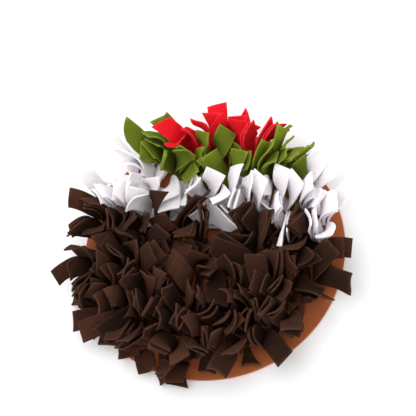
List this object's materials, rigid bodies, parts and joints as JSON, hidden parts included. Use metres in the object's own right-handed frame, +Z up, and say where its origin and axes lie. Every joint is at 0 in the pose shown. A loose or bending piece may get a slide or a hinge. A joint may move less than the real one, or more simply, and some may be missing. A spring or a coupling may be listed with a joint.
{
  "type": "snuffle mat",
  "caption": "Round felt mat whose top is covered with short standing fleece tails in red, green, white and dark brown, for hiding dry treats in.",
  "frame": {"origin": "middle of the underside of the base panel", "axes": "+Z up out of the pile, +Y towards the red tails at the back, +X to the right"},
  "size_m": [0.2883, 0.2816, 0.0595],
  "materials": {
    "base": "matt needle felt, rust brown",
    "red": "matt fleece, red",
    "green": "matt fleece, olive green",
    "white": "matt fleece, white",
    "brown": "matt fleece, dark brown"
  },
  "bodies": {
    "root": {"base_panel": "base", "brown_comb_01": "brown", "brown_comb_02": "brown", "brown_comb_03": "brown", "brown_comb_04": "brown", "brown_comb_05": "brown", "brown_comb_06": "brown", "brown_comb_07": "brown", "brown_comb_08": "brown", "brown_comb_09": "brown", "brown_comb_10": "brown", "brown_comb_11": "brown", "brown_comb_12": "brown", "green_comb_03": "green", "green_comb_04": "green", "green_comb_05": "green", "green_comb_06": "green", "green_comb_07": "green", "green_comb_08": "green", "green_comb_09": "green", "green_comb_10": "green", "red_comb_05": "red", "red_comb_06": "red", "red_comb_07": "red", "red_comb_08": "red", "white_comb_01": "white", "white_comb_02": "white", "white_comb_03": "white", "white_comb_04": "white", "white_comb_05": "white", "white_comb_06": "white", "white_comb_07": "white", "white_comb_08": "white", "white_comb_09": "white", "white_comb_10": "white", "white_comb_11": "white", "white_comb_12": "white"}
  },
  "joints": []
}
